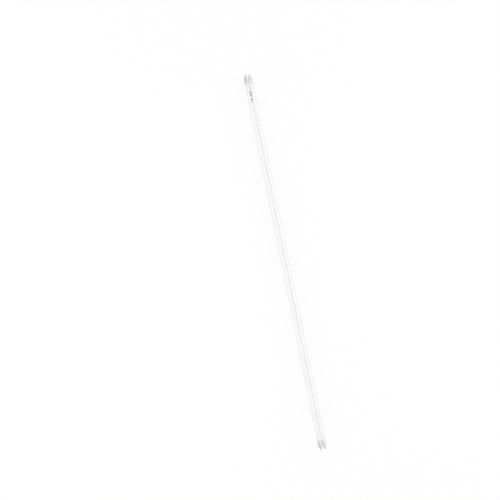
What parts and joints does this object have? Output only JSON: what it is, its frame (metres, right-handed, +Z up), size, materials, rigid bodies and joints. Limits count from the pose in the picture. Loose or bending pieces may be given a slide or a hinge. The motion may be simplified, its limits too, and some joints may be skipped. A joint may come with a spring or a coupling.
{
  "type": "led tube",
  "caption": "Straight T8 LED tube: frosted glass tube with aluminium bi-pin caps, an LED strip glued along its floor and a driver inside one end.",
  "frame": {"origin": "on the surface that the tube lies on, under the middle of its length", "axes": "+X along the tube from the driver end to the far end, +Y across the tube along the line of each pair of pins, +Z up, the way the LEDs face"},
  "size_m": [1.2136, 0.0276, 0.0276],
  "materials": {
    "frosted_glass": "white frosted coat inside, smooth and glossy outside",
    "cap_aluminium": "drawn, satin",
    "plate_plastic": "moulded, light grey",
    "pin_brass": "nickel plated",
    "cement": "cured bonding cement",
    "strip_board": "white solder mask on an aluminium core",
    "silicone": "cured silicone bead",
    "led_housing": "moulded",
    "phosphor": "phosphor in clear resin",
    "circuit_board": "green solder mask",
    "sleeve_film": "thin shrink film",
    "fuse_body": "flame-proof coat",
    "varistor_coat": "dipped resin",
    "film_case": "moulded case",
    "black_package": "moulded resin",
    "ferrite": "sintered",
    "copper_wire": "enamelled copper wire",
    "can_sleeve": "shrink sleeve on an aluminium can",
    "header_plastic": "moulded",
    "live_insulation": "extruded insulation",
    "neutral_insulation": "extruded insulation"
  },
  "bodies": {
    "root": {"glass_tube": "frosted_glass", "cap_shell_left": "cap_aluminium", "cap_shell_right": "cap_aluminium", "pin_plate_left": "plate_plastic", "pin_plate_right": "plate_plastic", "pin_left_front": "pin_brass", "pin_left_back": "pin_brass", "pin_right_front": "pin_brass", "pin_right_back": "pin_brass", "cap_cement_left": "cement", "cap_cement_right": "cement", "led_board": "strip_board", "board_adhesive": "silicone", "led_housings": "led_housing", "led_phosphors": "phosphor", "driver_board": "circuit_board", "driver_sleeve": "sleeve_film", "fuse_resistor": "fuse_body", "varistor": "varistor_coat", "film_capacitor": "film_case", "bridge_rectifier": "black_package", "driver_chip": "black_package", "freewheel_diode": "black_package", "inductor_core": "ferrite", "inductor_winding": "copper_wire", "input_capacitor": "can_sleeve", "output_capacitor": "can_sleeve", "output_header": "header_plastic", "output_pins": "pin_brass", "live_lead": "live_insulation", "neutral_lead": "neutral_insulation", "far_lead_front": "live_insulation", "far_lead_back": "neutral_insulation"}
  },
  "joints": []
}
